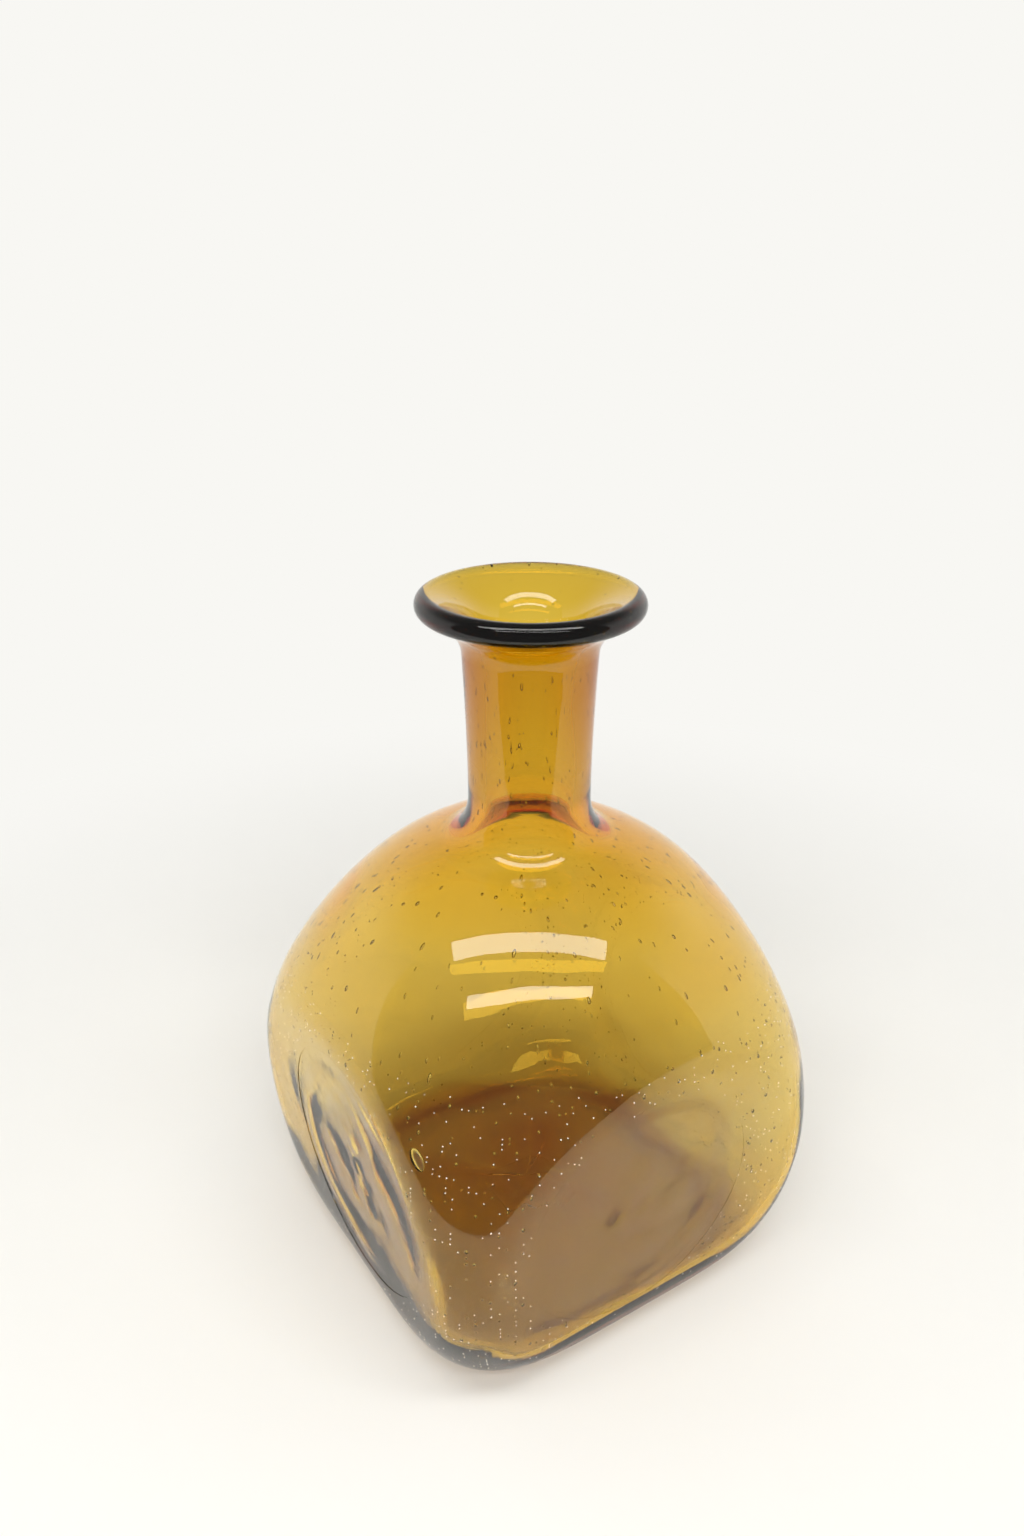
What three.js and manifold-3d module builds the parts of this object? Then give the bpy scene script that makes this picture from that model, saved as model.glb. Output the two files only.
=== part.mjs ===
import * as THREE from 'three';
import Module from 'manifold-3d';
import { mergeVertices } from 'three/addons/utils/BufferGeometryUtils.js';

// A bottle vase of amber glass. A blown bulb is pressed flat on four sides while it is hot, a round pad
// of glass is stamped on each flat, and the neck is drawn up and opened into a rolled lip.
// Millimetres, +Z up, standing on z = 0. The four flat sides look along X and Y.

// The whole vase
const HEIGHT = 200; // from the table to the top of the lip
const GAP = 0.3; // between neighbouring gathers of glass

// The blown bulb, measured at the middle of a side
const BELLY_WIDTH = 139; // widest, before the sides are pressed in
const BELLY_HEIGHT = 60; // where it is widest
const DOME_HEIGHT = 134.5; // where the dome would close if it had no neck
const DOME_POWER = 2.2; // 2 is an ellipse, more gives a fuller shoulder
const BODY_WALL = 3.5; // thickness of the bulb's glass
const SHOULDER_SEAM = 41; // from the dome's closing height down to the seam between side wall and dome

// The plan of the bulb, square below and round above
const SQUARE_POWER = 4.4; // 2 is a circle, more is squarer
const SQUARE_TOP = 20; // square up to this height
const ROUND_BAND = 14.5; // round from this far below the dome's closing height
const PRESS_DEPTH = 7; // how far each side is pressed in from the blown belly
const PRESS_LEAN = THREE.MathUtils.degToRad(3.5); // each flat leans out towards its top
const PRESS_EDGE = 1.5; // softness of the edge round each flat

// The foot
const FOOT_WIDTH = 100; // across the underside at the middle of a side
const REST_RING = 8; // width of the flat ring that it stands on
const KICK_UP = 3.4; // height of the hollow under the middle
const BASE_THICKNESS = 7; // glass in the middle of the floor, above the hollow
const BASE_SEAM = 11; // height of the seam between floor and side wall
const FLOOR_FILLET = 11; // inside, between floor and side wall
const PONTIL_RADIUS = 11; // the scar where the iron was broken off
const PONTIL_THICKNESS = 2;

// The neck
const NECK_ROOT_RADIUS = 16.6;
const NECK_TOP_RADIUS = 17.8;
const NECK_WALL = 4.3;
const ROOT_SPREAD = 9; // how far the root of the neck spreads into the dome
const ROOT_RISE = 10; // how high the spread reaches
const NECK_SEAM_RISE = 3; // from there up to the seam between dome and neck
const FLARE_HEIGHT = 16; // from the top of the neck to the top of the lip

// The lip
const LIP_WIDTH = 59; // over all
const LIP_EDGE = 6; // thickness of the rolled edge
const LIP_HOLD_LOW = THREE.MathUtils.degToRad(250); // the flare holds the roll from here
const LIP_HOLD_HIGH = THREE.MathUtils.degToRad(115); // to here, round its inner side

// The stamped pads
const SEAL_RADIUS = 33;
const SEAL_HEIGHT = 46; // height of their middle
const SEAL_SINK = 0.7; // the stamp leaves their front this far below the flat
const SEAL_THICKNESS = 1.3;
const RIPPLE_HEIGHT = 0.5;
const RIPPLE_PITCH = 8.5;

// Number of flats that stand for a round, and of steps along each line
const BODY_SIDES = 56;
const NECK_SIDES = 44;
const SEAL_SIDES = 24;
const HEEL_STEPS = 5;
const SIDE_STEPS = 8;
const DOME_STEPS = 9;
const NECK_STEPS = 4;
const FLARE_STEPS = 6;
const ROLL_STEPS = 12;
const HOLD_STEPS = 8;
const SEAL_STEPS = 10;
const ROUNDING_STEPS = 4;

const wasm = await Module();
wasm.setup();

// A superellipse arc from the belly up to the radius where the neck's root begins.
class DomeCurve extends THREE.Curve {
  getPoint(t, target = new THREE.Vector2()) {
    const endRadius = NECK_ROOT_RADIUS + ROOT_SPREAD;
    const endAngle = Math.acos((endRadius / (BELLY_WIDTH / 2)) ** (DOME_POWER / 2));
    const angle = t * endAngle;
    const radius = (BELLY_WIDTH / 2) * Math.cos(angle) ** (2 / DOME_POWER);
    const rise = (DOME_HEIGHT - BELLY_HEIGHT) * Math.sin(angle) ** (2 / DOME_POWER);
    return target.set(radius, BELLY_HEIGHT + rise);
  }
}

// The outer line of the glass from the foot to the top of the neck, as radius and height.
function makeOutline() {
  const footRadius = FOOT_WIDTH / 2;
  const heel = new THREE.EllipseCurve(
    footRadius, BELLY_HEIGHT, BELLY_WIDTH / 2 - footRadius, BELLY_HEIGHT, -Math.PI / 2, 0);
  const dome = new DomeCurve();
  const domeEnd = dome.getPoint(1);
  const slope = dome.getTangent(1);
  const cornerHeight = domeEnd.y + slope.y / -slope.x * ROOT_SPREAD;
  const corner = new THREE.Vector2(NECK_ROOT_RADIUS, cornerHeight);
  const neckStart = new THREE.Vector2(NECK_ROOT_RADIUS, cornerHeight + ROOT_RISE);
  const neckEnd = new THREE.Vector2(NECK_TOP_RADIUS, HEIGHT - FLARE_HEIGHT);
  const neckMiddle = new THREE.Vector2(NECK_ROOT_RADIUS, (neckStart.y + neckEnd.y) / 2);
  const path = new THREE.CurvePath();
  path.add(heel);
  path.add(dome);
  path.add(new THREE.QuadraticBezierCurve(domeEnd, corner, neckStart));
  path.add(new THREE.QuadraticBezierCurve(neckStart, neckMiddle, neckEnd));
  return { path, neckStart, neckEnd };
}

const outline = makeOutline();
const RING_INNER = FOOT_WIDTH / 2 - REST_RING;
const SEAM_WALL_DOME = DOME_HEIGHT - SHOULDER_SEAM;
const SEAM_DOME_NECK = outline.neckStart.y + NECK_SEAM_RISE;
const SEAM_NECK_FLARE = outline.neckEnd.y;

// The place along the outline that has a given height. The outline only ever climbs.
function placeAtHeight(height) {
  let low = 0;
  let high = 1;
  for (let i = 0; i < 40; i += 1) {
    const middle = (low + high) / 2;
    if (outline.path.getPoint(middle).y < height) {
      low = middle;
    } else {
      high = middle;
    }
  }
  return (low + high) / 2;
}

function wallAt(height) {
  const share = THREE.MathUtils.smoothstep(height, BELLY_HEIGHT, SEAM_DOME_NECK);
  return THREE.MathUtils.lerp(BODY_WALL, NECK_WALL, share);
}

// The outer and inner line of the wall between two heights, with square-cut ends.
function wallStretch(fromHeight, toHeight, steps) {
  const from = placeAtHeight(fromHeight);
  const to = placeAtHeight(toHeight);
  const outer = [];
  const inner = [];
  for (let i = 0; i <= steps; i += 1) {
    const place = THREE.MathUtils.lerp(from, to, i / steps);
    const point = outline.path.getPoint(place);
    const along = outline.path.getTangent(place);
    const inwards = new THREE.Vector2(-along.y, along.x);
    outer.push(point);
    inner.push(point.clone().addScaledVector(inwards, wallAt(point.y)));
  }
  return { outer, inner };
}

// Points that run up the outside and down the inside are turned round Z.
function turned(points, sides) {
  const geometry = new THREE.LatheGeometry(points, sides);
  geometry.rotateX(Math.PI / 2);
  geometry.deleteAttribute('normal');
  geometry.deleteAttribute('uv');
  return mergeVertices(geometry);
}

function turnedRing(outer, inner, sides) {
  return turned([...outer, ...[...inner].reverse(), outer[0]], sides);
}

function softMin(a, b, softness) {
  const near = Math.max(softness - Math.abs(a - b), 0) / softness;
  return Math.min(a, b) - near * near * softness / 4;
}

function faceDistance(height) {
  const atSeal = BELLY_WIDTH / 2 - PRESS_DEPTH;
  return atSeal + (height - SEAL_HEIGHT) * Math.tan(PRESS_LEAN);
}

// How far the glass stands out in one direction, as a share of the outline's radius at that height.
function squareShare(angle, height) {
  const radius = outline.path.getPoint(placeAtHeight(height)).x;
  const roundness = THREE.MathUtils.smoothstep(height, SQUARE_TOP, DOME_HEIGHT - ROUND_BAND);
  const power = THREE.MathUtils.lerp(SQUARE_POWER, 2, roundness);
  const across = Math.abs(Math.cos(angle));
  const along = Math.abs(Math.sin(angle));
  const blown = radius / (across ** power + along ** power) ** (1 / power);
  const pressed = faceDistance(height) / Math.max(across, along);
  return softMin(blown, pressed, PRESS_EDGE) / radius;
}

// Pulls a turned shape out to the bulb's square plan.
function squared(geometry) {
  const places = geometry.getAttribute('position');
  for (let i = 0; i < places.count; i += 1) {
    const x = places.getX(i);
    const y = places.getY(i);
    const share = squareShare(Math.atan2(y, x), places.getZ(i));
    places.setXY(i, x * share, y * share);
  }
  return geometry;
}

function toSolid(geometry) {
  const places = geometry.getAttribute('position').array;
  const corners = geometry.getIndex().array;
  const mesh = new wasm.Mesh({
    numProp: 3,
    vertProperties: new Float32Array(places),
    triVerts: new Uint32Array(corners),
  });
  return new wasm.Manifold(mesh);
}

function toGeometry(solid) {
  const mesh = solid.getMesh();
  const geometry = new THREE.BufferGeometry();
  geometry.setAttribute('position', new THREE.BufferAttribute(mesh.vertProperties, 3));
  geometry.setIndex(new THREE.BufferAttribute(mesh.triVerts, 1));
  return geometry;
}

function hollowHeight(radius) {
  return KICK_UP * (1 - (radius / RING_INNER) ** 2);
}

// A short cylinder on the face that looks along +X, its round ends square to that face.
function seatCutter() {
  const reach = SEAL_SINK + SEAL_THICKNESS + GAP;
  const length = reach + PRESS_DEPTH;
  const geometry = new THREE.CylinderGeometry(SEAL_RADIUS + GAP, SEAL_RADIUS + GAP, length, SEAL_SIDES);
  geometry.deleteAttribute('normal');
  geometry.deleteAttribute('uv');
  geometry.rotateZ(-Math.PI / 2);
  geometry.translate(length / 2 - reach, 0, 0);
  geometry.rotateY(PRESS_LEAN);
  geometry.translate(faceDistance(SEAL_HEIGHT), 0, SEAL_HEIGHT);
  return mergeVertices(geometry);
}

// Cuts a shallow round seat for the pad of each face into whatever glass the seat reaches.
function withSeats(geometry) {
  let solid = toSolid(geometry);
  for (let quarter = 0; quarter < 4; quarter += 1) {
    const cutter = seatCutter().rotateZ(quarter * Math.PI / 2);
    solid = solid.subtract(toSolid(cutter));
  }
  return toGeometry(solid);
}

// The floor: hollowed underneath, flat where it stands, rounded into the side wall inside and out.
function basePad() {
  const top = BASE_THICKNESS + KICK_UP;
  const points = [];
  for (let i = 0; i <= HEEL_STEPS; i += 1) {
    const radius = RING_INNER * i / HEEL_STEPS;
    points.push(new THREE.Vector2(radius, hollowHeight(radius)));
  }
  const { outer, inner } = wallStretch(0, BASE_SEAM - GAP, HEEL_STEPS);
  points.push(...outer);
  const wallEnd = inner[inner.length - 1];
  const fillet = new THREE.QuadraticBezierCurve(
    wallEnd, new THREE.Vector2(wallEnd.x, top), new THREE.Vector2(wallEnd.x - FLOOR_FILLET, top));
  points.push(...fillet.getPoints(ROUNDING_STEPS));
  points.push(new THREE.Vector2(0, top));
  return withSeats(squared(turned(points, BODY_SIDES)));
}

// The square side wall.
function bodyWall() {
  const { outer, inner } = wallStretch(BASE_SEAM, SEAM_WALL_DOME - GAP / 2, SIDE_STEPS);
  return withSeats(squared(turnedRing(outer, inner, BODY_SIDES)));
}

function shoulderDome() {
  const from = SEAM_WALL_DOME + GAP / 2;
  const { outer, inner } = wallStretch(from, SEAM_DOME_NECK - GAP / 2, DOME_STEPS);
  return withSeats(squared(turnedRing(outer, inner, BODY_SIDES)));
}

function neckTube() {
  const from = SEAM_DOME_NECK + GAP / 2;
  const { outer, inner } = wallStretch(from, SEAM_NECK_FLARE - GAP / 2, NECK_STEPS);
  return turnedRing(outer, inner, NECK_SIDES);
}

function lipCentre() {
  return new THREE.Vector2((LIP_WIDTH - LIP_EDGE) / 2, HEIGHT - LIP_EDGE / 2);
}

// The trumpet between neck and lip. Its end is hollowed to hold the rolled edge.
function mouthFlare() {
  const centre = lipCentre();
  const start = SEAM_NECK_FLARE + GAP / 2;
  const hold = new THREE.EllipseCurve(
    centre.x, centre.y, LIP_EDGE / 2 + GAP, LIP_EDGE / 2 + GAP, LIP_HOLD_LOW, LIP_HOLD_HIGH, true);
  const low = hold.getPoint(0);
  const high = hold.getPoint(1);
  const along = outline.path.getTangent(1);
  const inwards = new THREE.Vector2(-along.y, along.x);
  const outerStart = new THREE.Vector2(NECK_TOP_RADIUS, start);
  const innerStart = outerStart.clone().addScaledVector(inwards, NECK_WALL);
  const outer = new THREE.QuadraticBezierCurve(
    outerStart, new THREE.Vector2(outerStart.x, low.y), low);
  const inner = new THREE.QuadraticBezierCurve(
    high, new THREE.Vector2(innerStart.x, high.y), innerStart);
  const points = [
    ...outer.getPoints(FLARE_STEPS),
    ...hold.getPoints(HOLD_STEPS).slice(1),
    ...inner.getPoints(FLARE_STEPS).slice(1),
  ];
  points.push(points[0]);
  return turned(points, NECK_SIDES);
}

function lipRoll() {
  const centre = lipCentre();
  const section = new THREE.EllipseCurve(centre.x, centre.y, LIP_EDGE / 2, LIP_EDGE / 2, 0, 2 * Math.PI);
  return turned(section.getPoints(ROLL_STEPS), NECK_SIDES);
}

// The scar is a low button under the hollow, rounded below and flat where it meets the floor.
function pontilScar() {
  const top = hollowHeight(PONTIL_RADIUS) - GAP;
  const button = new THREE.EllipseCurve(0, top, PONTIL_RADIUS, PONTIL_THICKNESS, -Math.PI / 2, 0);
  const points = button.getPoints(ROUNDING_STEPS);
  points.push(new THREE.Vector2(0, top));
  return turned(points, SEAL_SIDES);
}

// A round pad, flat behind, with rings on its front like ripples. Its axis is Z and z = 0 is the flat
// of the side wall round it.
function faceSeal() {
  const back = -SEAL_SINK - SEAL_THICKNESS;
  const points = [new THREE.Vector2(0, back), new THREE.Vector2(SEAL_RADIUS, back)];
  for (let i = SEAL_STEPS; i >= 0; i -= 1) {
    const radius = SEAL_RADIUS * i / SEAL_STEPS;
    const wave = Math.cos(2 * Math.PI * radius / RIPPLE_PITCH);
    const rise = i === SEAL_STEPS ? 0 : RIPPLE_HEIGHT * (1 + wave) / 2;
    points.push(new THREE.Vector2(radius, rise - SEAL_SINK));
  }
  return turned(points, SEAL_SIDES);
}

function glass(hex, opacity) {
  return new THREE.MeshStandardMaterial({
    color: hex, roughness: 0.06, metalness: 0, transparent: true, opacity });
}

function piece(name, geometry, material) {
  const mesh = new THREE.Mesh(geometry, material);
  mesh.name = name;
  return mesh;
}

const vase = new THREE.Group();
vase.add(piece('base_pad', basePad(), glass(0x8a5a1c, 0.8)));
vase.add(piece('body_wall', bodyWall(), glass(0xc99a34, 0.6)));
vase.add(piece('shoulder_dome', shoulderDome(), glass(0xd0a03c, 0.6)));
vase.add(piece('neck_tube', neckTube(), glass(0xb98a2b, 0.7)));
vase.add(piece('mouth_flare', mouthFlare(), glass(0xd8a94a, 0.6)));
vase.add(piece('lip_roll', lipRoll(), glass(0x4a4230, 0.8)));
vase.add(piece('pontil_scar', pontilScar(), glass(0x9c7434, 0.8)));

const SEAL_NAMES = ['face_seal_right', 'face_seal_back', 'face_seal_left', 'face_seal_front'];
SEAL_NAMES.forEach((name, quarter) => {
  const side = new THREE.Group();
  side.rotation.z = quarter * Math.PI / 2;
  const seal = piece(name, faceSeal(), glass(0x8f7f5e, 0.7));
  seal.rotation.y = Math.PI / 2 + PRESS_LEAN;
  seal.position.set(faceDistance(SEAL_HEIGHT), 0, SEAL_HEIGHT);
  side.add(seal);
  vase.add(side);
});

export default vase;
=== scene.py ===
import math
import random

import bmesh
import bpy
from mathutils import Matrix, Vector, kdtree, noise


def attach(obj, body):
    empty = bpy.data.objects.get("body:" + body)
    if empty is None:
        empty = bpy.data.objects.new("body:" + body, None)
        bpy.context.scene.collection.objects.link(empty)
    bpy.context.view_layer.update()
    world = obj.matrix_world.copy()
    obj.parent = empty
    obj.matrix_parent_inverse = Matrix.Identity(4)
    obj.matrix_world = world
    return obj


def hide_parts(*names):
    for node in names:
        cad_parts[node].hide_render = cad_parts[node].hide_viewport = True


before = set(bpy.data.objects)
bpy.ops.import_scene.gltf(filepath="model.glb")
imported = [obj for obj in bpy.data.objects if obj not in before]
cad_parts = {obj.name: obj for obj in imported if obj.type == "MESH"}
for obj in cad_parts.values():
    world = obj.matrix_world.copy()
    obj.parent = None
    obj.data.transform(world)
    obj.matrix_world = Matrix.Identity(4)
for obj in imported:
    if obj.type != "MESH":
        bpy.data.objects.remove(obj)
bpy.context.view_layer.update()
MM = 0.001

# The view. The vase stands a little below the lens of a phone camera at arm's length, one corner of its
# body towards the lens.

LENS_PLACE = Vector((-163.3, -242.1, 287.0)) * MM
LENS_LENGTH = 28.17
SENSOR_LONG_SIDE = 36.0
LOOK_TURN = math.radians(56.92)
LOOK_DOWN = math.radians(25.0)

look = Vector((
    math.cos(LOOK_TURN) * math.cos(LOOK_DOWN),
    math.sin(LOOK_TURN) * math.cos(LOOK_DOWN),
    -math.sin(LOOK_DOWN),
))
camera_data = bpy.data.cameras.new("camera")
camera_data.lens = LENS_LENGTH
camera_data.sensor_width = SENSOR_LONG_SIDE
camera_data.clip_start = 0.01
camera = bpy.data.objects.new("camera", camera_data)
camera.location = LENS_PLACE
camera.rotation_mode = "QUATERNION"
camera.rotation_quaternion = look.to_track_quat("-Z", "Y")
bpy.context.scene.collection.objects.link(camera)
bpy.context.scene.camera = camera


# The studio. Matt white paper lies under the vase and rises in a round sweep on all sides but the one that
# the camera looks from, where it ends close to the vase. Two long soft lamps hang over that side, and a low
# wide panel lights the paper from there. Away from the vase the paper looks evenly white to the lens, and
# low down also to reflections and through the glass; higher up, there, its white is painted darker as shade.
# The world looks white to the lens and through the glass too, and is dim only in reflections and as light.

def linear(code):
    """A colour written as sRGB hex, as linear RGBA."""
    shares = [int(code[i:i + 2], 16) / 255 for i in (1, 3, 5)]
    return [s / 12.92 if s <= 0.04045 else ((s + 0.055) / 1.055) ** 2.4 for s in shares] + [1.0]


def add_node(tree, kind, settings=None, links=None, values=None):
    """Adds a node, with its settings, the sockets that feed it and the values of the others."""
    node = tree.nodes.new(kind)
    for name, value in (settings or {}).items():
        setattr(node, name, value)
    for name, value in (values or {}).items():
        node.inputs[name].default_value = value
    for name, source in (links or {}).items():
        tree.links.new(source, node.inputs[name])
    return node


def new_material(name):
    material = bpy.data.materials.new(name)
    material.use_nodes = True
    material.node_tree.nodes.clear()
    return material, material.node_tree


SWEEP_RADIUS = 1.2
SWEEP_BEND = 0.35
SWEEP_HEIGHT = 1.3
SWEEP_SIDES = 96
SWEEP_BEND_STEPS = 8
PAPER_EDGE = 0.22
PAPER_DROP = 0.05 * MM
PAPER = linear("#f3f2ee")
EVEN_WHITE = linear("#f8f7f3")
EVEN_FROM = 0.14
EVEN_FULL = 0.4
FADE_FROM = 0.39
FADE_TO = 0.3
ROOM_LIGHT = 0.25
LIGHT_BOUNCES = 32
CLEAR_BOUNCES = 64

bpy.ops.object.select_all(action="DESELECT")
bpy.ops.mesh.primitive_circle_add(
    vertices=SWEEP_SIDES, radius=SWEEP_RADIUS - SWEEP_BEND, fill_type="TRIFAN", location=(0, 0, 0))
paper = bpy.context.object
paper.name = "paper_sweep"
bpy.ops.object.mode_set(mode="EDIT")
bpy.ops.mesh.select_all(action="DESELECT")
bpy.ops.mesh.select_mode(type="EDGE")
bpy.ops.object.mode_set(mode="OBJECT")
for edge in paper.data.edges:
    edge.select = all(
        paper.data.vertices[i].co.length > 0.5 * SWEEP_RADIUS for i in edge.vertices)
bpy.ops.object.mode_set(mode="EDIT")
reach, height = SWEEP_RADIUS - SWEEP_BEND, 0.0
sweep_line = [
    (SWEEP_RADIUS - SWEEP_BEND + SWEEP_BEND * math.sin(a), SWEEP_BEND * (1 - math.cos(a)))
    for a in (math.pi / 2 * k / SWEEP_BEND_STEPS for k in range(1, SWEEP_BEND_STEPS + 1))
] + [(SWEEP_RADIUS, SWEEP_HEIGHT)]
for next_reach, next_height in sweep_line:
    bpy.ops.mesh.extrude_edges_move(TRANSFORM_OT_translate={"value": (0, 0, next_height - height)})
    bpy.ops.transform.resize(value=(next_reach / reach, next_reach / reach, 1))
    reach, height = next_reach, next_height
bpy.ops.object.mode_set(mode="OBJECT")
sweep_mesh = bmesh.new()
sweep_mesh.from_mesh(paper.data)
to_lens = Vector((LENS_PLACE.x, LENS_PLACE.y, 0)).normalized()
bmesh.ops.bisect_plane(sweep_mesh, geom=sweep_mesh.verts[:] + sweep_mesh.edges[:] + sweep_mesh.faces[:],
                       plane_co=to_lens * PAPER_EDGE, plane_no=to_lens, clear_outer=True)
bmesh.ops.recalc_face_normals(sweep_mesh, faces=sweep_mesh.faces)
sweep_mesh.to_mesh(paper.data)
sweep_mesh.free()
bpy.ops.object.shade_smooth()
paper.location.z = -PAPER_DROP
paper_material, tree = new_material("matt_white_paper")
sheet = add_node(tree, "ShaderNodeBsdfPrincipled", values={"Base Color": PAPER, "Roughness": 0.9})
place = add_node(tree, "ShaderNodeTexCoord")
axes = add_node(tree, "ShaderNodeSeparateXYZ", links={"Vector": place.outputs["Object"]})
# Painted shade: above FADE_FROM the even white of the sweep is painted darker towards its top, down to
# FADE_TO, but only in reflections and through the glass; the lens sees it evenly white.
painted_dimming = add_node(tree, "ShaderNodeMapRange", {"interpolation_type": "SMOOTHSTEP"},
                {"Value": axes.outputs["Z"]},
                {"From Min": FADE_FROM, "From Max": SWEEP_HEIGHT, "To Min": 1.0, "To Max": FADE_TO})
sight = add_node(tree, "ShaderNodeLightPath")
strength = add_node(tree, "ShaderNodeMath", {"operation": "MAXIMUM"},
                    {0: painted_dimming.outputs["Result"], 1: sight.outputs["Is Camera Ray"]})
even = add_node(tree, "ShaderNodeEmission", links={"Strength": strength.outputs[0]},
                values={"Color": EVEN_WHITE})
reach = add_node(tree, "ShaderNodeVectorMath", {"operation": "LENGTH"}, {"Vector": place.outputs["Object"]})
away = add_node(tree, "ShaderNodeMapRange", {"interpolation_type": "SMOOTHSTEP"},
                {"Value": reach.outputs["Value"]}, {"From Min": EVEN_FROM, "From Max": EVEN_FULL})
seen = sight.outputs["Is Camera Ray"]
for ray in ("Is Glossy Ray", "Is Transmission Ray"):
    either = add_node(tree, "ShaderNodeMath", {"operation": "MAXIMUM"}, {0: seen, 1: sight.outputs[ray]})
    seen = either.outputs[0]
share = add_node(tree, "ShaderNodeMath", {"operation": "MULTIPLY"}, {0: seen, 1: away.outputs["Result"]})
surface = add_node(tree, "ShaderNodeMixShader", links={
    0: share.outputs[0], 1: sheet.outputs["BSDF"], 2: even.outputs["Emission"]})
add_node(tree, "ShaderNodeOutputMaterial", links={"Surface": surface.outputs["Shader"]})
paper.data.materials.append(paper_material)

world = bpy.data.worlds.new("dim_room")
bpy.context.scene.world = world
world.use_nodes = True
tree = world.node_tree
tree.nodes.clear()
sight = add_node(tree, "ShaderNodeLightPath")
straight = add_node(tree, "ShaderNodeMath", {"operation": "LESS_THAN"}, {0: sight.outputs["Glossy Depth"]},
                    {1: 0.5})
through = add_node(tree, "ShaderNodeMath", {"operation": "MULTIPLY"},
                   {0: straight.outputs[0], 1: sight.outputs["Is Transmission Ray"]})
seen = add_node(tree, "ShaderNodeMath", {"operation": "MAXIMUM"},
                {0: through.outputs[0], 1: sight.outputs["Is Camera Ray"]})
strength = add_node(tree, "ShaderNodeMapRange", links={"Value": seen.outputs[0]},
                    values={"To Min": ROOM_LIGHT, "To Max": 1.0})
room = add_node(tree, "ShaderNodeBackground", links={"Strength": strength.outputs["Result"]},
                values={"Color": EVEN_WHITE})
add_node(tree, "ShaderNodeOutputWorld", links={"Surface": room.outputs["Background"]})


def add_panel(name, place, aim, size, radiance):
    """A soft panel of that radiance, where 1 is white paper in full light."""
    data = bpy.data.lights.new(name, "AREA")
    data.shape = "RECTANGLE"
    data.size, data.size_y = size
    data.energy = radiance * size[0] * size[1] * math.pi
    panel = bpy.data.objects.new(name, data)
    panel.location = place
    panel.rotation_mode = "QUATERNION"
    panel.rotation_quaternion = (Vector(aim) - Vector(place)).to_track_quat("-Z", "Y")
    bpy.context.scene.collection.objects.link(panel)
    return panel


add_panel("near_strip", (-0.18, -0.28, 1.3), (0, 0, 0.12), (1.6, 0.22), 6.8)
add_panel("far_strip", (-0.48, -0.77, 1.3), (0, 0, 0.12), (1.6, 0.12), 6.8)
window = add_panel("window", (-0.55, -0.82, 0.45), (0, 0, 0.05), (1.1, 0.6), 4.7)
window.visible_glossy = False
window.visible_transmission = False

bpy.context.scene.view_settings.view_transform = "Standard"
bpy.context.scene.cycles.max_bounces = LIGHT_BOUNCES
bpy.context.scene.cycles.transmission_bounces = LIGHT_BOUNCES
bpy.context.scene.cycles.transparent_max_bounces = CLEAR_BOUNCES


# The base: the thick floor and the heel of the blown bulb, left where the glass is heaviest, and stood
# on a flat ring round a shallow kick. Clear amber soda-lime glass, fused to the wall above it.

BODY = 139.0 * MM
BELLY_HEIGHT = 60.0 * MM
DOME_HEIGHT = 134.5 * MM
DOME_POWER = 2.2
FOOT = 100.0 * MM
REST_RING = 8.0 * MM
KICK_UP = 3.4 * MM
FLOOR_WALL = 3.4 * MM
FLOOR_SWELL = 2.4 * MM
FLOOR_SWELL_REACH = 30.0 * MM
FLOOR_WAVE = 0.5 * MM
FLOOR_WAVES_A_METRE = 30
HEAVY_SIDE = Vector((0.55, 0.83))
HEAVY_SLOPE = 3.6 / 50
SQUARE_POWER = 4.4
SQUARE_TOP = 20.0 * MM
ROUND_FROM = 120.0 * MM
PRESS_DEPTH = 7.0 * MM
PRESS_MIDDLE = 46.0 * MM
PRESS_LEAN = math.radians(3.5)
PRESS_EDGE = 2.5 * MM
WALLS = ((0.0, 3.4 * MM), (32.0 * MM, 2.3 * MM), (60.0 * MM, 2.0 * MM), (78.0 * MM, 2.1 * MM),
         (115.0 * MM, 3.4 * MM), (132.0 * MM, 4.8 * MM), (148.0 * MM, 4.8 * MM), (184.0 * MM, 6.2 * MM),
         (200.0 * MM, 5.4 * MM))
NECK_ROOT = 16.6 * MM
PONTIL = 11.0 * MM
BASE_SEAM = 0.40
TURN_STEPS = 256
FUSED_GAP = 0.005 * MM
NEAR_SEAM = 0.06 * MM
SEAM_REACH = 0.4 * MM
MERGE_GAP = 0.02 * MM
TINT_DENSITY = 480.0


def mix(a, b, t):
    return a + (b - a) * t


def bezier(a, b, c, t):
    return mix(mix(Vector(a), Vector(b), t), mix(Vector(b), Vector(c), t), t)


def smooth(value, low, high):
    t = min(max((value - low) / (high - low), 0.0), 1.0)
    return t * t * (3 - 2 * t)


def heel(t):
    angle = t * math.pi / 2
    return Vector((
        FOOT / 2 + (BODY - FOOT) / 2 * math.sin(angle),
        BELLY_HEIGHT * (1 - math.cos(angle)),
    ))


def wall_at(height):
    """The glass is thinnest round the belly, where it was blown widest."""
    for (low, thin), (high, thick) in zip(WALLS, WALLS[1:]):
        if height <= high:
            return mix(thin, thick, smooth(height, low, high))
    return WALLS[-1][1]


def inside(curve):
    """The inner skin across the wall from a curve of the outer one. It notes which point of the outer
    skin each of its points lies behind, and how deep."""
    def inner(t):
        step = 0.001
        along = (curve(min(t + step, 1)) - curve(max(t - step, 0))).normalized()
        point = curve(t)
        point_inside = point + Vector((-along.y, along.x)) * wall_at(point.y)
        behind[tuple(point_inside)] = (point, wall_at(point.y))
        return point_inside
    return inner


behind = {}


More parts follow.
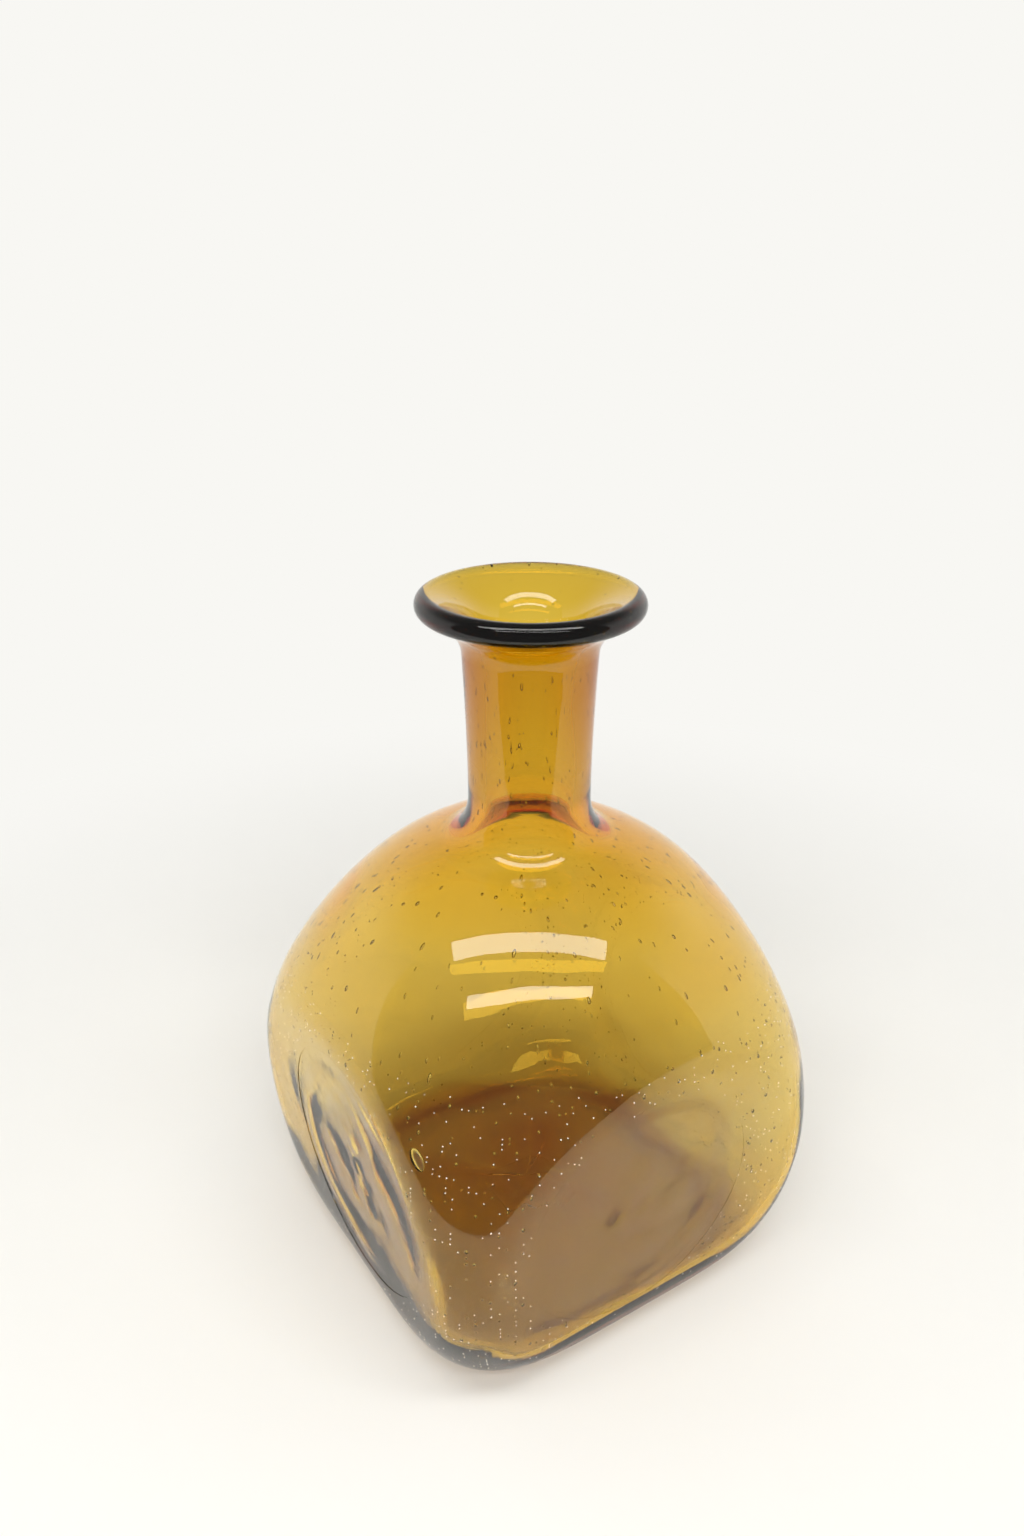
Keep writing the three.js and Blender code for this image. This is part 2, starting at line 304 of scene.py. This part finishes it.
def walk(curve, count, start=0.0, end=1.0, opens=False, closes=False):
    """Points along a curve. A fused seam leaves a hair's breadth free, and short steps end both sides."""
    marks = [curve(mix(start, end, k / 20)) for k in range(21)]
    share = (end - start) / sum((b - a).length for a, b in zip(marks, marks[1:]))
    start += FUSED_GAP * share * opens
    end -= FUSED_GAP * share * closes
    low, high = start + NEAR_SEAM * share, end - NEAR_SEAM * share
    places = [start] + [mix(low, high, k / count) for k in range(count + 1)] + [end]
    return [curve(t) for t in places]


def blown_radius(height):
    """Radius of the round bulb's outer skin at a height, before it is pressed."""
    if height <= BELLY_HEIGHT:
        share = 1 - min(max(height, 0) / BELLY_HEIGHT, 1)
        return FOOT / 2 + (BODY - FOOT) / 2 * math.sqrt(max(1 - share * share, 0))
    rise = min((height - BELLY_HEIGHT) / (DOME_HEIGHT - BELLY_HEIGHT), 0.999)
    return max(BODY / 2 * (1 - rise ** DOME_POWER) ** (1 / DOME_POWER), NECK_ROOT)


def flat_reach(height):
    """How far a pressed flat stands from the axis at a height."""
    return BODY / 2 - PRESS_DEPTH + (height - PRESS_MIDDLE) * math.tan(PRESS_LEAN)


def pressed_share(angle, height):
    """How far the pressed bulb stands out in one direction, as a share of the round one."""
    if height >= ROUND_FROM:
        return 1.0
    radius = blown_radius(height)
    power = mix(SQUARE_POWER, 2, smooth(height, SQUARE_TOP, ROUND_FROM))
    across, along = abs(math.cos(angle)), abs(math.sin(angle))
    blown = radius / (across ** power + along ** power) ** (1 / power)
    flat = flat_reach(height) / max(across, along)
    near = max(PRESS_EDGE - abs(blown - flat), 0) / PRESS_EDGE
    return (min(blown, flat) - near * near * PRESS_EDGE / 4) / radius


def pressed(angle, radius, height):
    share = pressed_share(angle, height)
    return Vector((radius * share * math.cos(angle), radius * share * math.sin(angle), height))


def pressed_inside(angle, outer, depth):
    """The point a depth behind a point of the pressed outer skin, at right angles to it."""
    small = 0.3 * MM
    turn = small / outer.x
    rise = (blown_radius(outer.y + small) - blown_radius(outer.y - small)) / 2
    around = pressed(angle + turn, outer.x, outer.y) - pressed(angle - turn, outer.x, outer.y)
    up = pressed(angle, outer.x + rise, outer.y + small) - pressed(angle, outer.x - rise, outer.y - small)
    return pressed(angle, outer.x, outer.y) - around.cross(up).normalized() * depth


def amber_glass(name, tint):
    """Clear soda-lime glass, tinted amber by iron and sulphur: about a quarter of the blue is left after
    3 mm, and nearly all of the red. The thick and the drawn glass are browner than the blown. Where two
    gathers have flowed together, the light meets no skin, only more glass, so a fused face is clear."""
    material, tree = new_material(name)
    joint = add_node(tree, "ShaderNodeAttribute", {"attribute_name": "skin"})
    shader = add_node(tree, "ShaderNodeBsdfPrincipled", links={"Alpha": joint.outputs["Fac"]}, values={
        "Base Color": (1, 1, 1, 1), "Roughness": 0.0, "IOR": 1.52, "Transmission Weight": 1.0})
    tint = add_node(tree, "ShaderNodeVolumeAbsorption", values={
        "Color": linear(tint), "Density": TINT_DENSITY})
    add_node(tree, "ShaderNodeOutputMaterial", links={
        "Surface": shader.outputs["BSDF"], "Volume": tint.outputs["Volume"]})
    return material, tree, shader


def add_waves(tree, shader, size, depth, stretch=(1, 1, 1), below=None):
    """Slow swells in a skin of glass: their size and depth in metres."""
    place = add_node(tree, "ShaderNodeTexCoord")
    turned = add_node(tree, "ShaderNodeMapping", links={"Vector": place.outputs["Object"]},
                      values={"Scale": stretch})
    swell = add_node(tree, "ShaderNodeTexNoise", links={"Vector": turned.outputs["Vector"]},
                     values={"Scale": 1 / size, "Detail": 2.0, "Roughness": 0.4})
    links = {"Height": swell.outputs["Fac"]}
    if below:
        links["Normal"] = below.outputs["Normal"]
    bump = add_node(tree, "ShaderNodeBump", links=links, values={"Strength": 1.0, "Distance": depth})
    tree.links.new(bump.outputs["Normal"], shader.inputs["Normal"])
    return bump


def turn_glass(name, line, seams, glass):
    """A zone of the vase, turned from its section into one closed skin and pressed square. Its faces
    at a seam are fused to the next zone."""
    bpy.ops.object.select_all(action="DESELECT")
    bpy.ops.mesh.primitive_plane_add(size=MM, location=(0, 0, 0))
    piece = bpy.context.object
    piece.name = name
    bpy.ops.object.mode_set(mode="EDIT")
    bpy.ops.mesh.select_mode(type="VERT")
    bpy.ops.mesh.merge(type="CENTER")
    bpy.ops.transform.translate(value=(line[0].x, 0, line[0].y))
    for start, end in zip(line, line[1:]):
        bpy.ops.mesh.extrude_vertices_move(
            TRANSFORM_OT_translate={"value": (end.x - start.x, 0, end.y - start.y)})
    bpy.ops.mesh.select_all(action="SELECT")
    bpy.ops.mesh.spin(steps=TURN_STEPS, angle=2 * math.pi, center=(0, 0, 0), axis=(0, 0, 1))
    bpy.ops.mesh.select_all(action="SELECT")
    bpy.ops.mesh.remove_doubles(threshold=MERGE_GAP)
    if line[0].x > 0:
        bpy.ops.mesh.select_all(action="DESELECT")
        bpy.ops.mesh.select_non_manifold()
        bpy.ops.mesh.bridge_edge_loops()
    bpy.ops.mesh.select_all(action="SELECT")
    bpy.ops.mesh.normals_make_consistent(inside=False)
    bpy.ops.object.mode_set(mode="OBJECT")
    piece.data.materials.append(glass)
    piece.data.materials.append(glass)
    for face in piece.data.polygons:
        across = Vector((face.center.to_2d().length, face.center.z))
        if any((across - seam).length < SEAM_REACH for seam in seams):
            face.material_index = 1
    tree_of_line = kdtree.KDTree(len(line))
    for k, point in enumerate(line):
        tree_of_line.insert((point.x, point.y, 0), k)
    tree_of_line.balance()
    for vertex in piece.data.vertices:
        if vertex.co.z > ROUND_FROM + 6 * MM:
            continue
        angle = math.atan2(vertex.co.y, vertex.co.x)
        radius = vertex.co.to_2d().length
        partner = behind.get(tuple(line[tree_of_line.find((radius, vertex.co.z, 0))[1]]))
        if partner:
            vertex.co = pressed_inside(angle, *partner)
        else:
            vertex.co = pressed(angle, radius, vertex.co.z)
    return piece


def finish_glass(piece, slot, *nodes):
    """Smooths the skin, marks each face as skin or fused, and puts the piece in place of its CAD nodes."""
    bpy.ops.object.select_all(action="DESELECT")
    piece.select_set(True)
    bpy.context.view_layer.objects.active = piece
    bpy.ops.object.shade_smooth_by_angle(angle=math.radians(30))
    skin = piece.data.attributes.new("skin", "FLOAT", "FACE")
    for face in piece.data.polygons:
        skin.data[face.index].value = 1.0 - face.material_index
        face.material_index = 0
    piece.data.materials.pop()
    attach(piece, "root")
    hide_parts(*nodes)


def kick(radius):
    return KICK_UP * max(1 - (radius / (FOOT / 2 - REST_RING)) ** 2, 0)


def heel_height(radius):
    """Height of the outer skin of the heel at a radius."""
    out = min(max((radius - FOOT / 2) / (BODY / 2 - FOOT / 2), 0), 1)
    return BELLY_HEIGHT * (1 - math.sqrt(1 - out * out))


inner_heel = inside(heel)
wall_foot = inner_heel(BASE_SEAM)
foot_slope = (inner_heel(BASE_SEAM + 0.01) - wall_foot).normalized()
floor_corner = Vector((wall_foot.x - (wall_foot.y - FLOOR_WALL) * foot_slope.x / foot_slope.y, FLOOR_WALL))
floor_edge = Vector((FOOT / 2 - REST_RING, FLOOR_WALL))
base_seam = (heel(BASE_SEAM) + wall_foot) / 2
kick_edge = FOOT / 2 - REST_RING
hollow_steps = [PONTIL * k / 6 for k in range(7)] + [mix(PONTIL, kick_edge, k / 16) for k in range(1, 17)]
line = [Vector((x, kick(x))) for x in hollow_steps]
line += [Vector((mix(kick_edge, FOOT / 2, k / 4), 0)) for k in range(1, 4)]
line += walk(heel, 20, 0.0, BASE_SEAM, closes=True)
line += [wall_foot - foot_slope * FUSED_GAP]
line += [bezier(wall_foot - foot_slope * NEAR_SEAM, floor_corner, floor_edge, k / 14) for k in range(15)]
floor_steps = [floor_edge.x * (1 - k / 18) for k in range(1, 19)]
line += [Vector((x, FLOOR_WALL + kick(x) + FLOOR_SWELL * smooth(floor_edge.x - x, 0, FLOOR_SWELL_REACH)))
         for x in floor_steps]
base_glass, tree, shader = amber_glass("amber_soda_lime_glass_thick_base", "#f4e452")
add_waves(tree, shader, 14 * MM, 0.03 * MM)
base = turn_glass("glass_base", line, [base_seam], base_glass)


def round_radius(place):
    """The radius that a point had before the bulb was pressed square."""
    return place.to_2d().length / pressed_share(math.atan2(place.y, place.x), place.z)


for face in base.data.polygons:
    if face.center.z < KICK_UP + 0.1 * MM and round_radius(face.center) < PONTIL:
        face.material_index = 1
for vertex in base.data.vertices:
    angle, out = math.atan2(vertex.co.y, vertex.co.x), vertex.co.to_2d().length
    heel_below = heel_height(round_radius(vertex.co))
    if vertex.co.z > max(kick(out) + 0.6 * FLOOR_WALL, heel_below + MM):
        lean = HEAVY_SLOPE * HEAVY_SIDE.dot(vertex.co.to_2d())
        heavy = FLOOR_WAVE * noise.noise(vertex.co * FLOOR_WAVES_A_METRE) + max(lean, 0)
        vertex.co.z += heavy * smooth(wall_foot.x - out, 0, 8 * MM)
        aside = pressed_inside(angle, *behind[tuple(wall_foot)]) - pressed(angle, wall_foot.x, wall_foot.y)
        vertex.co += aside * smooth(vertex.co.z, FLOOR_WALL + 2 * MM, wall_foot.y - 0.1 * MM)
finish_glass(base, "thick_amber_glass", "base_pad")


# The wall of the body: the widest zone of the bulb, pressed flat on four sides while it was soft, so
# that the corners between them stay round. Clear amber glass, blown out to about 2 mm.

ROOT_SPREAD = 9.0 * MM
SHOULDER_SEAM = 0.36
MARK_RADIUS = 35.5 * MM
MARK_HEIGHT = 49.5 * MM
MARK_THICKNESS = 0.8 * MM
BLOWN_SWELL = 0.22 * MM
BLOWN_GRAIN = (28, 28, 28)
# Each mark: which way it looks, how far it is off the middle, how deep it sits and how high its ripples are.
MARKS = {
    "left": (180, 9.0 * MM, 0.16 * MM, 0.36 * MM),
    "front": (270, -6.0 * MM, 0.06 * MM, 0.24 * MM),
    "right": (0, 4.0 * MM, 0.03 * MM, 0.05 * MM),
    "back": (90, -5.0 * MM, 0.03 * MM, 0.05 * MM),
}


def dome(t):
    end = math.acos(((NECK_ROOT + ROOT_SPREAD) / (BODY / 2)) ** (DOME_POWER / 2))
    angle = t * end
    return Vector((
        BODY / 2 * math.cos(angle) ** (2 / DOME_POWER),
        BELLY_HEIGHT + (DOME_HEIGHT - BELLY_HEIGHT) * math.sin(angle) ** (2 / DOME_POWER),
    ))


def make_uneven(piece, swell, grain, seam_heights, flats=()):
    """Blown glass is never even. Both of its skins swell and sink, but not at a seam or where a die
    pressed them flat."""
    bpy.context.view_layer.update()
    moves = []
    for vertex in piece.data.vertices:
        free = min(abs(vertex.co.z - height) for height in seam_heights)
        for flat in flats:
            spot = flat @ vertex.co
            if spot.z > -20 * MM:
                free = min(free, max(spot.to_2d().length - MARK_RADIUS, 0) + 1.5 * MM)
        spot = Vector([c * g for c, g in zip(vertex.co, grain)])
        size = noise.noise(spot) + 0.12 * noise.noise(spot * 4)
        moves.append(vertex.normal * (swell * size * smooth(free, 2 * MM, 9 * MM)))
    for vertex, move in zip(piece.data.vertices, moves):
        vertex.co += move


def mark_frame(turn, slide):
    """Where a mark sits: x along the flat, y up it and z out of the glass."""
    out = Vector((math.cos(PRESS_LEAN), 0, -math.sin(PRESS_LEAN)))
    up = Vector((math.sin(PRESS_LEAN), 0, math.cos(PRESS_LEAN)))
    frame_of_mark = Matrix((up.cross(out), up, out)).transposed().to_4x4()
    frame_of_mark.translation = Vector((flat_reach(MARK_HEIGHT), slide, MARK_HEIGHT))
    return Matrix.Rotation(math.radians(turn), 4, "Z") @ frame_of_mark


inner_dome = inside(dome)
line = walk(heel, 34, BASE_SEAM, 1.0, opens=True) + walk(dome, 30, 0.0, SHOULDER_SEAM, closes=True)
line += walk(inner_dome, 28, SHOULDER_SEAM, 0.0, opens=True)
line += walk(inner_heel, 30, 1.0, BASE_SEAM, closes=True)
shoulder_seam = (dome(SHOULDER_SEAM) + inner_dome(SHOULDER_SEAM)) / 2
blown_glass, tree, shader = amber_glass("amber_soda_lime_glass_blown", "#fbea55")
add_waves(tree, shader, 9 * MM, 0.015 * MM)
wall = turn_glass("glass_body", line, [base_seam, shoulder_seam], blown_glass)
flats = [mark_frame(turn, slide).inverted() for turn, slide, _, _ in MARKS.values()]
make_uneven(wall, BLOWN_SWELL, BLOWN_GRAIN, (base_seam.y, shoulder_seam.y), flats)
for turn, slide, sink, ripple_height in MARKS.values():
    bpy.ops.object.select_all(action="DESELECT")
    bpy.ops.mesh.primitive_circle_add(vertices=160, radius=MARK_RADIUS, fill_type="NGON",
                                      location=(0, 0, -sink - MARK_THICKNESS))
    die = bpy.context.object
    bpy.ops.object.mode_set(mode="EDIT")
    bpy.ops.mesh.select_all(action="SELECT")
    bpy.ops.mesh.extrude_region_move(TRANSFORM_OT_translate={"value": (0, 0, MARK_THICKNESS)})
    bpy.ops.mesh.extrude_region_move(TRANSFORM_OT_translate={"value": (0, 0, sink + 5 * MM)})
    bpy.ops.mesh.select_all(action="SELECT")
    bpy.ops.mesh.normals_make_consistent(inside=False)
    bpy.ops.object.mode_set(mode="OBJECT")
    bpy.ops.object.transform_apply(location=True, rotation=False, scale=False)
    die.data.materials.append(blown_glass)
    die.data.materials.append(blown_glass)
    for face in die.data.polygons:
        face.material_index = int(face.center.z < -sink - 0.01 * MM)
    die.data.transform(mark_frame(turn, slide))
    seat = wall.modifiers.new("seat", "BOOLEAN")
    seat.operation = "DIFFERENCE"
    seat.solver = "EXACT"
    seat.object = die
    bpy.context.view_layer.objects.active = wall
    bpy.ops.object.modifier_apply(modifier=seat.name)
    bpy.data.objects.remove(die)
finish_glass(wall, "amber_glass", "body_wall")


# The shoulder: the round top of the bulb, drawn in and up to the root of the neck.

ROOT_RISE = 10.0 * MM
dome_end = dome(1)
dome_slope = (dome(1) - dome(0.999)).normalized()
root_corner = Vector((NECK_ROOT, dome_end.y + dome_slope.y / -dome_slope.x * ROOT_SPREAD))
neck_start = Vector((NECK_ROOT, root_corner.y + ROOT_RISE))
line = walk(dome, 46, SHOULDER_SEAM, 1.0, opens=True)


def root(t):
    return bezier(dome_end, root_corner, neck_start, t)


inner_root = inside(root)
root_seam = (root(1) + inner_root(1)) / 2
line += walk(root, 18, closes=True) + walk(inner_root, 18, 1.0, 0.0, opens=True)
line += walk(inner_dome, 42, 1.0, SHOULDER_SEAM, closes=True)
shoulder = turn_glass("glass_shoulder", line, [shoulder_seam, root_seam], blown_glass)
make_uneven(shoulder, BLOWN_SWELL, BLOWN_GRAIN, (shoulder_seam.y, root_seam.y))
finish_glass(shoulder, "amber_glass", "shoulder_dome")


# The neck: drawn out of the bulb, so that its swells and its seeds are long and upright.

NECK_TOP = 17.8 * MM
HEIGHT = 200.0 * MM
FLARE_HEIGHT = 16.0 * MM
neck_end = Vector((NECK_TOP, HEIGHT - FLARE_HEIGHT))


def neck(t):
    return bezier(neck_start, (NECK_ROOT, (neck_start.y + neck_end.y) / 2), neck_end, t)


inner_neck = inside(neck)
neck_seam = (neck(1) + inner_neck(1)) / 2
drawn_glass, tree, shader = amber_glass("amber_soda_lime_glass_drawn", "#f5e652")
add_waves(tree, shader, 6 * MM, 0.015 * MM, stretch=(1, 1, 0.2))
line = walk(neck, 26, opens=True, closes=True) + walk(inner_neck, 26, 1.0, 0.0, opens=True, closes=True)
neck_piece = turn_glass("glass_neck", line, [root_seam, neck_seam], drawn_glass)
make_uneven(neck_piece, 0.25 * MM, (80, 80, 16), (root_seam.y, neck_seam.y))
finish_glass(neck_piece, "amber_glass", "neck_tube")


# The mouth: the end of the neck, heated again and opened outwards with a wooden jack.

LIP = 59.0 * MM
LIP_EDGE = 6.0 * MM
LIP_LOW = math.radians(-75)
LIP_HIGH = math.radians(108)
FLARE_DROP = 3.7 * MM
lip_centre = Vector(((LIP - LIP_EDGE) / 2, HEIGHT - LIP_EDGE / 2))


def lip(t):
    angle = mix(LIP_LOW, LIP_HIGH, t)
    return lip_centre + LIP_EDGE / 2 * Vector((math.cos(angle), math.sin(angle)))


def flare(t):
    return bezier(neck_end, (neck_end.x + 0.4 * MM, lip(0).y - FLARE_DROP), lip(0), t)


def inner_flare(t):
    end, start = inner_neck(1), lip(1)
    fall = Vector((-math.sin(LIP_HIGH), math.cos(LIP_HIGH)))
    corner = start + fall * (end.x - start.x) / fall.x
    return bezier(start, corner, end, t)


lip_seam = (lip(0) + lip(1)) / 2
line = walk(flare, 16, opens=True, closes=True) + walk(inner_flare, 22, opens=True, closes=True)
mouth = turn_glass("glass_mouth", line, [neck_seam, lip_seam], drawn_glass)
still_heights = (neck_seam.y, lip_seam.y - 2 * MM, lip_seam.y, lip_seam.y + 2 * MM)
make_uneven(mouth, 0.15 * MM, (50, 50, 50), still_heights)
finish_glass(mouth, "amber_glass", "mouth_flare")


# The lip: the edge of the mouth, folded over and melted into a thick round roll.

lip_glass, tree, shader = amber_glass("amber_soda_lime_glass_fire_polished_lip", "#f5e652")
add_waves(tree, shader, 7 * MM, 0.04 * MM)
line = walk(lip, 30, opens=True, closes=True)
lip_piece = turn_glass("glass_lip", line, [lip_seam], lip_glass)
finish_glass(lip_piece, "thick_amber_glass", "lip_roll")


# The pontil scar: the ragged button left under the base where the iron that held it was broken off.

SCAR_LOW = 2.3 * MM
SCAR_EDGE = 0.15 * MM
SCAR_ROUGH = 0.07 * MM
SCAR_WAVES_A_METRE = 220
scar_steps = [PONTIL * k / 12 for k in range(13)]
line = [Vector((x, mix(SCAR_LOW, kick(PONTIL) - SCAR_EDGE, smooth(x, 0.4 * PONTIL, PONTIL))))
        for x in scar_steps]
line += [Vector((x, kick(x) - FUSED_GAP)) for x in reversed(scar_steps)]
scar_glass, tree, shader = amber_glass("amber_soda_lime_glass_broken", "#f4e452")
add_waves(tree, shader, 2.5 * MM, 0.012 * MM)
scar = turn_glass("pontil_break", line, [], scar_glass)
for face in scar.data.polygons:
    face.material_index = int(face.normal.z > 0.5)
for vertex in scar.data.vertices:
    out = round_radius(vertex.co)
    if vertex.co.z < kick(out) - 0.1 * MM:
        rough = SCAR_ROUGH * noise.noise(vertex.co * SCAR_WAVES_A_METRE)
        vertex.co.z += rough * smooth(PONTIL - out, 0, 0.3 * PONTIL)
finish_glass(scar, "thick_amber_glass", "pontil_scar")


# The marks: a round die with ripples cut in it was pressed into each flat side while it was soft. Its
# cool metal left the glass a little dull.

RIPPLE_PITCH = 11.0 * MM
RIPPLE_BEND = 9.0 * MM
RIPPLE_MIDDLE = 9.0 * MM
RIPPLE_FADE = 5.0 * MM
INSET = 0.8 * MM
INSETS = 44
stamped_glass, tree, shader = amber_glass("amber_soda_lime_glass_die_stamped", "#fbea55")
waves = add_waves(tree, shader, 5 * MM, 0.06 * MM)
add_waves(tree, shader, 1.1 * MM, 0.012 * MM, below=waves)
for number, (side, (turn, slide, sink, ripple_height)) in enumerate(MARKS.items()):
    bpy.ops.object.select_all(action="DESELECT")
    bpy.ops.mesh.primitive_circle_add(vertices=160, radius=MARK_RADIUS - FUSED_GAP, fill_type="NGON",
                                      location=(0, 0, -sink - MARK_THICKNESS + FUSED_GAP))
    pad = bpy.context.object
    pad.name = "stamped_mark_" + side
    bpy.ops.object.mode_set(mode="EDIT")
    bpy.ops.mesh.select_all(action="SELECT")
    bpy.ops.mesh.extrude_region_move(TRANSFORM_OT_translate={"value": (0, 0, MARK_THICKNESS - FUSED_GAP)})
    for _ in range(INSETS):
        bpy.ops.mesh.inset(thickness=INSET)
    bpy.ops.mesh.merge(type="CENTER")
    bpy.ops.mesh.select_all(action="SELECT")
    bpy.ops.mesh.normals_make_consistent(inside=False)
    bpy.ops.object.mode_set(mode="OBJECT")
    bpy.ops.object.transform_apply(location=True, rotation=False, scale=False)
    pad.data.materials.append(stamped_glass)
    pad.data.materials.append(stamped_glass)
    for face in pad.data.polygons:
        face.material_index = int(face.center.z < -sink - 0.01 * MM)
    for vertex in pad.data.vertices:
        if vertex.co.z < -sink - 0.01 * MM:
            continue
        spot = Vector((vertex.co.x, vertex.co.y, 0.05 * number))
        out = vertex.co.to_2d().length
        bent = out + RIPPLE_BEND * noise.noise(spot * 30)
        round_it = Vector((spot.x, spot.y)) / max(out, RIPPLE_MIDDLE)
        swirl = Vector((bent / RIPPLE_PITCH, 1.1 * round_it.x, 1.1 * round_it.y + 5 * number))
        ripple = 1.6 * noise.noise(swirl) + 0.4 * noise.noise(swirl * 2.1)
        vertex.co.z += ripple_height * ripple * smooth(MARK_RADIUS - out, 0, RIPPLE_FADE)
    pad.data.transform(mark_frame(turn, slide))
    finish_glass(pad, "stamped_glass", "face_seal_" + side)


# The seeds: air bubbles caught in the glass as it melted, drawn out where it was drawn. Each is a hollow
# in its piece of glass, so its skin faces the air inside.

def outer_faces(piece):
    """The faces of a piece's outer skin, sector by sector and upwards, whatever their order in the mesh."""
    skin = piece.data.attributes["skin"].data
    faces = [f for f in piece.data.polygons if f.area > 0.2 * MM * MM and skin[f.index].value > 0.5
             and f.normal.dot(Vector((f.center.x, f.center.y, 0)).normalized()) > 0.2]
    return sorted(faces, key=lambda f: (
        math.floor(math.atan2(f.center.y, f.center.x) / (2 * math.pi) * TURN_STEPS), f.center.z))


def laid_in(spot, out, along, lean, sizes):
    """The placing of a small shape at a spot: its third axis out of the skin, its second one along it."""
    up = (along - out * out.dot(along)).normalized()
    up = Matrix.Rotation(lean, 3, out) @ up
    turned = Matrix((up.cross(out), up, out)).transposed().to_4x4()
    return Matrix.Translation(spot) @ turned @ Matrix.Diagonal((*sizes, 1))


def bubble(segments, rings):
    """A ball whose skin faces inwards, where the air is."""
    bpy.ops.object.select_all(action="DESELECT")
    bpy.ops.mesh.primitive_uv_sphere_add(segments=segments, ring_count=rings, radius=1.0, location=(0, 0, 0))
    bpy.ops.object.mode_set(mode="EDIT")
    bpy.ops.mesh.select_all(action="SELECT")
    bpy.ops.mesh.flip_normals()
    bpy.ops.object.mode_set(mode="OBJECT")
    return bpy.context.object


def melt_in(piece, shape, placings, rounded=True, material_index=0):
    """Joins a copy of a small closed shape into a piece of glass at each placing, then drops the shape."""
    grown = bmesh.new()
    grown.from_mesh(piece.data)
    first_new = len(grown.faces)
    for placing in placings:
        copy = shape.data.copy()
        copy.transform(placing)
        grown.from_mesh(copy)
        bpy.data.meshes.remove(copy)
    grown.faces.ensure_lookup_table()
    skin = grown.faces.layers.float["skin"]
    for face in grown.faces[first_new:]:
        face[skin] = 1.0
        face.smooth = rounded
        face.material_index = material_index
    grown.to_mesh(piece.data)
    grown.free()
    bpy.data.objects.remove(shape)


UPRIGHT = Vector((0, 0, 1))
SEED_GAP = 1.6 * MM
SEED_DEPTH = 0.15 * MM


def add_seeds(piece, count, lengthen, chance, deepest, scale=1.0, marks=()):
    """Hollows under the outer skin of a piece: round ones of 0.3 to 0.9 mm, a few of them longer. None
    lies behind a mark or close to another one."""
    faces = outer_faces(piece)
    spots, placings = [], []
    for face in chance.choices(faces, [f.area for f in faces], k=count):
        small = chance.uniform(0.17, 0.3) * MM if chance.random() < 0.8 else chance.uniform(0.3, 0.45) * MM
        small *= scale
        long = small * chance.uniform(1.0, lengthen)
        deep = chance.uniform(small + SEED_DEPTH, max(deepest - small, small + SEED_DEPTH + 0.05 * MM))
        lean = chance.uniform(-0.25, 0.25)
        spot = face.center - face.normal * deep
        near_marks = [m @ spot for m in marks if (m @ spot).z > -10 * MM]
        if any(near.to_2d().length < MARK_RADIUS + MM for near in near_marks):
            continue
        if any((spot - other).length < SEED_GAP for other in spots[-40:]):
            continue
        spots.append(spot)
        placings.append(laid_in(spot, face.normal, UPRIGHT, lean, (small, long, small * 0.8)))
    melt_in(piece, bubble(8, 6), placings)


chance = random.Random(7)
add_seeds(base, 150, 1.5, chance, 2.0 * MM)
add_seeds(wall, 620, 1.7, chance, 1.6 * MM, 1.15, flats)
add_seeds(shoulder, 300, 3.5, chance, 1.7 * MM, 1.1)
add_seeds(neck_piece, 100, 5.0, chance, 3.6 * MM, 0.85)
add_seeds(mouth, 30, 2.0, chance, 2.4 * MM, 0.7)
add_seeds(lip_piece, 60, 2.5, chance, 2.2 * MM, 0.8)


# The blister: one flat bubble of air near the outer skin of the near corner of the body.

BLISTER_DEPTH = 0.75 * MM
BLISTER_SIZES = (1.7 * MM, 3.0 * MM, 0.5 * MM)
near_corner = Vector((-80.0, -52.3, 86.3)) * MM
inwards = Vector((20, 10, -8)).normalized()
bpy.context.view_layer.update()
_, spot, normal, _ = wall.ray_cast(near_corner, inwards)
flat_placing = laid_in(spot - normal * BLISTER_DEPTH, normal, Vector((0.06, -0.7, -0.7)), 0.0, BLISTER_SIZES)
melt_in(wall, bubble(32, 16), [flat_placing])


# The white specks: pale specks, 0.25 to 0.5 mm across, scattered over the body. They stand a little proud of
# the outer skin of the body.

# How many white specks there are, their pale mottled colour and where they sit.
WHITE_SPECKS = 1200
speck_material, tree = new_material("white_speck")
mottle = add_node(tree, "ShaderNodeTexNoise", values={"Scale": 9000.0, "Detail": 2.0})
pale = add_node(tree, "ShaderNodeMix", {"data_type": "RGBA"}, {0: mottle.outputs["Fac"]},
                {6: linear("#d8cfbc"), 7: linear("#f1ece0")})
speck_shader = add_node(tree, "ShaderNodeBsdfPrincipled", links={"Base Color": pale.outputs[2]},
                 values={"Roughness": 0.7, "IOR": 1.54})
add_node(tree, "ShaderNodeOutputMaterial", links={"Surface": speck_shader.outputs["BSDF"]})
wall.data.materials.append(speck_material)
bpy.ops.object.select_all(action="DESELECT")
bpy.ops.mesh.primitive_ico_sphere_add(subdivisions=1, radius=1.0, location=(0, 0, 0))
grain = bpy.context.object
faces = outer_faces(wall)
placings = []
for face in chance.choices(faces, [f.area for f in faces], k=WHITE_SPECKS):
    sizes = [chance.uniform(0.13, 0.25) * MM for _ in range(3)]
    turned = Matrix.Rotation(chance.uniform(0, math.pi), 4, face.normal)
    placings.append(Matrix.Translation(face.center) @ turned @ Matrix.Diagonal((*sizes, 1)))
melt_in(wall, grain, placings, rounded=False, material_index=1)
